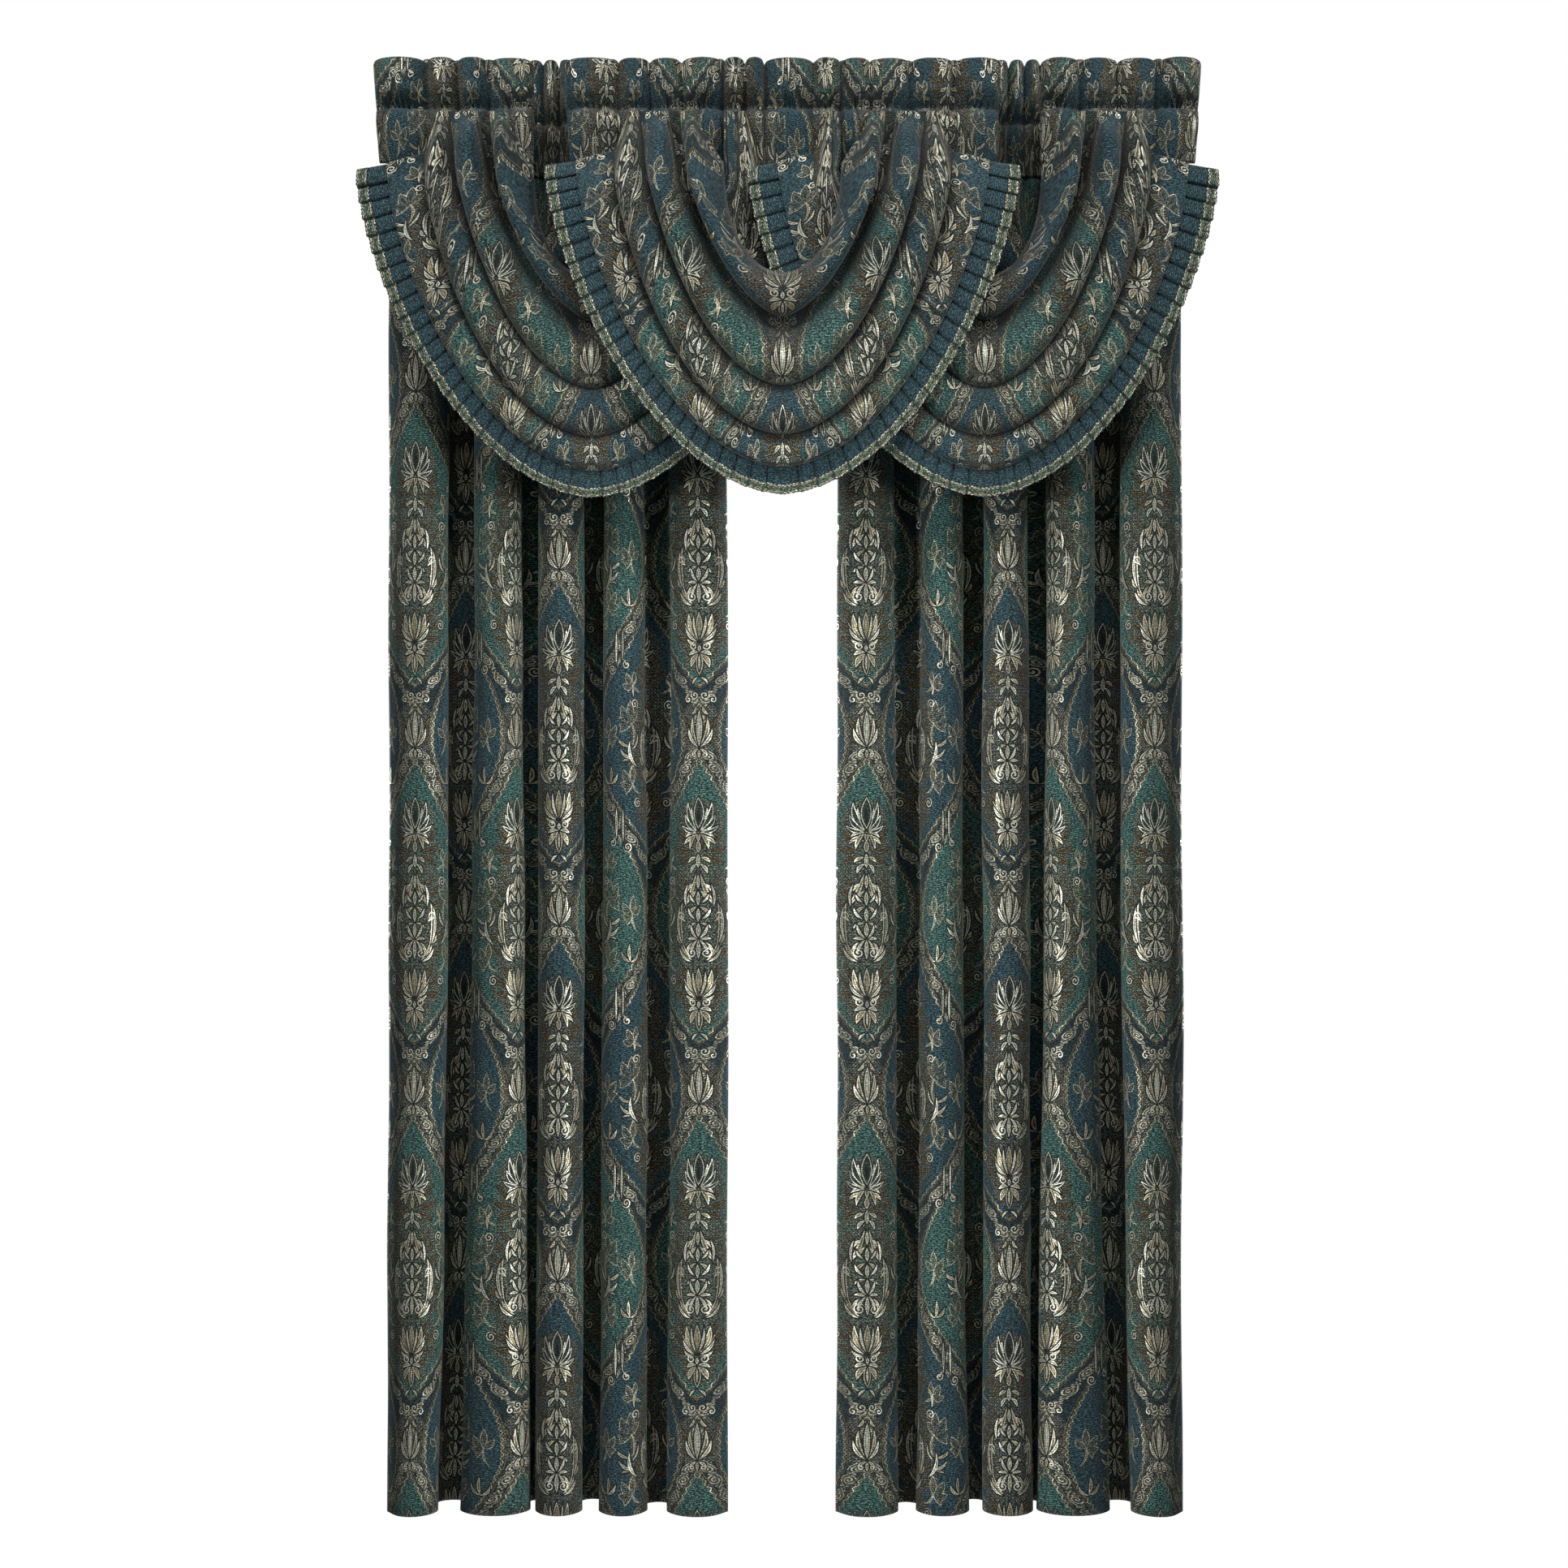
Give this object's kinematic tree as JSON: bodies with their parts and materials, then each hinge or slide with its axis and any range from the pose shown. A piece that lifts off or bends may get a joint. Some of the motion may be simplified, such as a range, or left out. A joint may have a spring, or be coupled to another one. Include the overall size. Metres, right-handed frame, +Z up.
{
  "type": "pair of curtain panels with three swag valances",
  "caption": "Floor-length jacquard curtain panels gathered on rod pockets, under overlapping waterfall swag valances with a pleated trim.",
  "frame": {"origin": "the middle of the front rod's line, where the valances' pockets hang", "axes": "+Z up along the drop, +Y away from the room towards the window, +X to the right as seen from the room"},
  "size_m": [1.2505, 0.225, 2.1351],
  "materials": {
    "jacquard": "soft chenille jacquard, blue-green ground with ivory and gold figure",
    "ruffle": "knife-pleated dark blue-green cloth",
    "braid": "woven braid with scalloped ivory edges"
  },
  "bodies": {
    "root": {"panel_left": "jacquard", "panel_left_header": "jacquard", "panel_right": "jacquard", "panel_right_header": "jacquard", "valance_left_header_outer": "jacquard", "valance_centre_header_left": "jacquard", "valance_left_header_inner": "jacquard", "valance_right_header_inner": "jacquard", "valance_centre_header_right": "jacquard", "valance_right_header_outer": "jacquard", "valance_left_swag": "jacquard", "valance_left_ruffle": "ruffle", "valance_left_braid": "braid", "valance_right_swag": "jacquard", "valance_right_ruffle": "ruffle", "valance_right_braid": "braid", "valance_centre_swag": "jacquard", "valance_centre_ruffle": "ruffle", "valance_centre_braid": "braid"}
  },
  "joints": []
}
